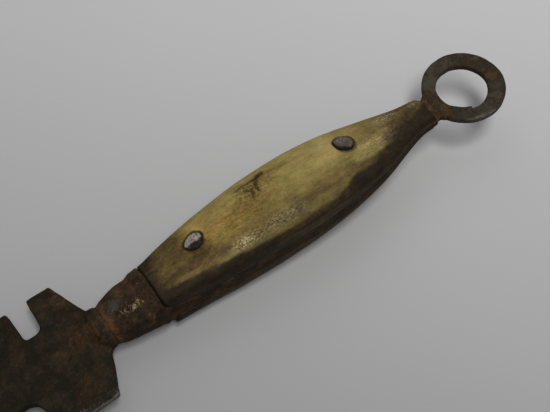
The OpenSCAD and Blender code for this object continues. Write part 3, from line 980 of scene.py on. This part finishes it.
def horn_masks(points, gap, halo):
    """Tone, warmth, scuffs, dirt and painted light of the upper scale, laid out along and across its lit
    face.
    """
    x, y, z = points.T
    d = x - flange_rear
    along, across = seen_place(d, y, z)

    def spot(at, length, beside, width):
        return bump(along, at, length) * bump(across, beside, width)

    # Dark near flank, with a lighter arris above it
    waver = 0.7 * noise(points * [0.35, 1, 1], 3, 51) + 0.4 * noise(points, 1.2, 52)
    flank_edge = curve([
        (0, 0.2), (6, -1.0), (12, -1.8), (17, -3.0), (22, -3.3), (27, -3.5), (32, -4.6), (37, -5.2),
        (47, -6.3), (57, -7.0), (67, -6.8), (73, -5.2), (78, -3.5), (82, -4.4), (87, -3.1), (92, -1.9),
        (97, -1.2), (103, 0.6), (110, 2.6)], 2)
    long_waver = noise(points * [0.12, 1, 1], 1.6, 56)
    above_flank = across - flank_edge(along) + 0.45 * long_waver + 0.15 * waver
    flank = step(0.9, -0.9, above_flank)
    arris = step(6, 12, along) * step(25, 20, along) * bump(above_flank, 1.4, 0.9)
    # Darker front, middle and tail
    front = step(28, 20, along + 0.9 * np.maximum(across - 4, 0) + 1.5 * waver)
    corner = spot(5, 4, 9, 2.5)
    tip = step(6.5, 2, along + 0.8 * waver)
    middle = bump(along, 44, 12) * step(14.5, 11, across)
    below = step(5, -1.5, across + waver) * (0.3 * step(22, 34, along) + 0.7 * step(46, 58, along))
    streak = spot(26.5, 3.2, -0.5, 1.8)
    thread = step(38, 44, along) * step(74, 64, along) * bump(across, -2.1, 0.8)
    rear = step(71, 80, along)
    tail = step(90, 98, along + 2 * waver)
    light_patch = step(1.5, 0.4, ((along - 85) / 7) ** 2 + ((across - 0.5) / 2.7) ** 2 + 0.5 * waver)
    dark_patch = spot(89, 5, 6, 2.6)
    far_front = spot(26, 5, 8.5, 3)
    far_rear = bump(along, 76, 8) * step(2, 6, across)
    tone = (
        0.25 + 0.34 * front - 0.11 * arris + 0.1 * corner + 0.17 * middle + 0.26 * below
        + 0.28 * streak + 0.05 * thread + 0.10 * rear + 0.26 * tail - 0.24 * light_patch
        + 0.12 * dark_patch + 0.08 * step(98, 104, along) * step(3, 0, across)
        + 0.07 * far_front - 0.06 * far_rear + 0.34 * tip * (1 - 0.3 * front) - 0.05 * halo)
    dark = 0.88 - 0.14 * bump(along, 55, 16)
    tone = tone + (dark - tone) * flank
    # Painted shadow: the front end is painted black in the shaded joint with the flange
    joint_shadow = step(1.3, 0.7, d)
    black = 1.3
    tone = tone + (black - tone) * joint_shadow
    # Warm stains, then rubbed and scuffed places
    orange = spot(34, 16, 5, 4.5)
    stain = spot(19.5, 6, 6.5, 4.5)
    crack_side = spot(47, 6, 11.5, 3)
    warm = 0.9 * orange + 0.5 * stain + 0.5 * crack_side + 0.4 * tail + 0.3 * front + 0.8 * halo
    # Rubbed places on the near shoulder, whose pale band also stands for a painted highlight there
    rubbed_and_sheen = bump(along, 33, 4.2) + 0.22 * step(36, 40, along) * step(59, 52, along)
    band = bump(across, -2.0 - 0.02 * (along - 34), 1.6 + 0.5 * step(36, 46, along))
    flakes = spot(88, 8, 1.6, 2.4)
    scuffed = step(89, 94, along) * step(103, 97, along) + 0.6 * bump(along, 107, 2)
    edge_scuffs = scuffed * bump(across, 6.0 - 0.14 * (along - 97), 1.2)
    pale = 0.85 * rubbed_and_sheen * band + 0.3 * flakes + 0.5 * edge_scuffs + 0.16 * far_rear
    eroded = spot(44, 7, 10.5, 3)
    rough = 0.9 * eroded + np.minimum(0.8, 2 * rubbed_and_sheen) * band + 0.3 * orange + 0.35 * flakes
    # Dirt in and beside the cracks, round the rivets and at the front, with painted shadow by the rivets
    crack, dark_line = crack_lines(points)
    on_top = z > bed(d) + 2
    beside_crack = 0.32 * step(1.4, 0.1, crack + 0.6 * waver) * on_top
    dirt_and_shadow = np.max([dark_line * on_top, beside_crack, 0.85 * gap, 0.8 * step(1.8, 0.5, d)], axis=0)
    # The spot below the front rivet is dirt and painted shadow under the head
    dirt_and_shadow = np.maximum(dirt_and_shadow * (1 - joint_shadow), 0.55 * spot(19, 3.2, 5.2, 1.2))
    return {"tone": tone, "warm": warm, "pale": pale, "dirt_and_shadow": dirt_and_shadow, "rough": rough * (z > bed(d) + 1)}, crack


def rivet_gap(points):
    """Closeness to a rivet head's rim (partly painted shadow), cover under it, and the rust stain round it.
    """
    gap, cover, halo = np.zeros((3, len(points)))
    for node, (outline, *_) in rivets.items():
        place, _ = rivet_place(node)
        dx, dy = points[:, 0] - place[0], points[:, 1] - place[1]
        away = np.hypot(dx, dy)
        past = away - head_radius(outline, np.arctan2(dy, dx))
        # The dark gap is wider on the near side, as painted shadow of the head
        width = 0.6 + 1.0 * step(0.1, 0.8, -dy / np.maximum(away, 0.1))
        ragged = past + 0.3 * noise(points, 1.3, 57)
        gap = np.maximum(gap, 1 - step(0.3 * width, width, ragged))
        cover = np.maximum(cover, step(0.3, -0.1, past))
        stained = 1 if node == "front_rivet" else 0.15
        halo = np.maximum(halo, stained * step(2.8, 0.6, past))
    return gap, cover, halo


def scale_surface(points, quads):
    """Normal at each point of a scale, and how far it lies on the outside and on the crest, from 0 to 1."""
    normal = normals(points, quads)
    normal[-2:] = [[-1, 0, 0], [1, 0, 0]]
    d = points[:, 0] - flange_rear
    height = points[:, 2] - bed(d)
    outer = step(0.3, 1.2, height) * step(scale_gap, scale_gap + 1, d)
    return normal, outer, step(2, 4, height)


def make_upper_horn():
    """Upper scale: crowned, worn, cracked near the far edge and let in round the rivets."""
    crack_middle = 45
    at = stations(0.25, 0.5, rivets_along + [crack_middle], 8)
    points, quads, ends = loft(at, upper_power, front_swell=0, fitted=1, top_points=124, bed_points=22)
    normal, outer, on_top = scale_surface(points, quads)
    gap, cover, halo = rivet_gap(points)
    masks, crack = horn_masks(points, gap * on_top, halo * on_top)
    ripple = 0.16 * noise(points, 14, 41) + 0.05 * noise(points * [0.2, 1, 1], 1.6, 42)
    ripple += 0.12 * masks["rough"] * noise(points, 1.1, 43)
    depth = ripple * outer - 0.35 * step(0.3, -0.1, crack) * on_top - rivet_sink * cover * on_top
    points = points + normal * depth[:, None]
    faces = quads.tolist() + ends
    return make_piece("upper_horn", points, faces, masks, horn, "upper_horn_scale")


def make_lower_horn():
    """Lower scale: the same shape turned over, dark along its flanks."""
    at = stations(0.5, 0.9, rivets_along, 5)
    points, quads, ends = loft(at, lower_power, front_swell=1.0, fitted=0, top_points=84, bed_points=16)
    # The near front corner is broken back from the flange and stands out below the tang
    broken_back, stands_out = 1.6, 0.8
    corner = step(-5, -7.5, points[:, 1])
    points[:, 0] += broken_back * corner * step(6, 1, points[:, 0] - flange_rear)
    points[:, 1] -= stands_out * corner * bump(points[:, 0] - flange_rear, 1.5, 3)
    normal, outer, on_top = scale_surface(points, quads)
    gap, cover, _ = rivet_gap(points)
    ripple = 0.14 * noise(points, 14, 61) + 0.05 * noise(points * [0.2, 1, 1], 1.6, 62)
    depth = ripple * outer - rivet_sink * cover * on_top
    d, y = points[:, 0] - flange_rear, points[:, 1]
    waver = noise(points * [0.35, 1, 1], 3, 63)
    crest = step(0.45, 0.95, normal[:, 2] + 0.12 * waver)
    ends_dark = step(16, 4, d) + step(84, 100, d)
    masks = {
        "tone": 0.79 - 0.43 * crest + 0.3 * ends_dark - 0.05 * bump(d, 86, 10),
        "warm": 0.6 * (1 - crest) + bump(d, 45, 22) * bump(y, 2, 6) * 0.5,
        "pale": 0.5 * step(0.35, 0.7, noise(points * [0.4, 1, 1], 6, 64)) * crest,
        "dirt_and_shadow": 0.9 * gap * on_top,
        "rough": 0.3 * crest * step(0.1, 0.5, noise(points, 8, 65)),
    }
    points = (points + normal * depth[:, None]) * [1, 1, -1]
    faces = quads[:, ::-1].tolist() + [end[::-1] for end in ends]
    return make_piece("lower_horn", points, faces, masks, horn, "lower_horn_scale")


pieces = [
    make_head_plate(), make_bolster(), make_ring(), make_upper_horn(), make_lower_horn(),
    make_rivet("front_rivet", "peened_front_rivet", 71), make_rivet("rear_rivet", "peened_rear_rivet", 73)]


# Stage: the tool lies on the front of its belly, so the floor tilts a little in its frame


def make_floor(resting):
    """Wide pale floor that the resting pieces touch at their lowest point, with painted light brighter to
    one side.
    """
    lean = math.radians(4.0)
    upward = Vector((math.sin(lean), 0, math.cos(lean)))
    lowest = min(upward.dot(v.co) for piece in resting for v in piece.data.vertices)
    start = upward * lowest + Vector((plate_lo[0] * MM, 0, -plate_lo[0] * MM * math.tan(lean)))
    size = 3.0
    mesh = bpy.data.meshes.new("floor")
    corners = [(-size, -size, 0), (size, -size, 0), (size, size, 0), (-size, size, 0)]
    mesh.from_pydata(corners, [], [(0, 1, 2, 3)])
    s = Shader("floor", Roughness=0.85, Specular_IOR_Level=0.2)
    cloud = s.grain(120, detail=2)
    dot = s.node("ShaderNodeVectorMath", {0: s.place, 1: (0.74, 0.67, 0.0)}, operation="DOT_PRODUCT")
    along = s.scaled(dot.outputs["Value"], -0.044, 0.264)
    shade = s.calc("ADD", along, s.calc("MULTIPLY", s.calc("SUBTRACT", cloud, 0.5), 0.06), clamp=True)
    # Painted light: the floor's grey rises across it, as light falling off from one side
    grey = s.ramp(shade, [(0.0, (0.205,) * 3), (0.35, (0.352,) * 3), (1.0, (0.585,) * 3)])
    mesh.materials.append(s.finish(Base_Color=grey))
    floor = link(bpy.data.objects.new("floor", mesh))
    floor.location = start
    floor.rotation_euler = (0, lean, 0)


def make_lamp(name, direction, distance, size, power):
    """Square soft lamp that shines on the tool's middle from a direction."""
    data = bpy.data.lights.new(name, "AREA")
    data.size = size
    data.energy = power
    lamp = link(bpy.data.objects.new(name, data))
    towards = Vector(direction).normalized()
    lamp.location = Vector((0, 0, mid_z * MM)) + towards * distance
    lamp.rotation_euler = towards.to_track_quat("Z", "Y").to_euler()


def make_camera():
    """Camera where the photograph was taken from, found from the ring and the outline of the tool."""
    azimuth, elevation, roll = (math.radians(v) for v in (-29.666, 60.273, -7.471))
    aim = Vector((flange_rear + 47.94, 2.373, mid_z)) * MM
    distance = 289.24 * MM
    focal_px, image_px = 902.0, 550
    turn = Euler((math.pi / 2 - elevation, 0, azimuth)).to_matrix() @ Matrix.Rotation(roll, 3, "Z")
    data = bpy.data.cameras.new("photo_camera")
    data.sensor_width = 36
    data.lens = data.sensor_width * focal_px / image_px
    data.clip_start = 0.01
    camera = link(bpy.data.objects.new("photo_camera", data))
    camera.matrix_world = Matrix.Translation(aim + turn.col[2] * distance) @ turn.to_4x4()
    bpy.context.scene.camera = camera


make_floor(pieces)
make_camera()
make_lamp("first_lamp", (0.13, -0.20, 1.0), 0.9, 0.2, 2.9)
make_lamp("second_lamp", (-0.02, -0.44, 1.0), 0.9, 0.2, 2.5)
make_lamp("far_lamp", (0.3, 0.52, 0.8), 1.2, 1.0, 2.6)

world = bpy.data.worlds.new("room")
bpy.context.scene.world = world
world.use_nodes = True
world.node_tree.nodes["Background"].inputs["Color"].default_value = (0.26, 0.26, 0.26, 1)
bpy.context.scene.view_settings.view_transform = "Standard"
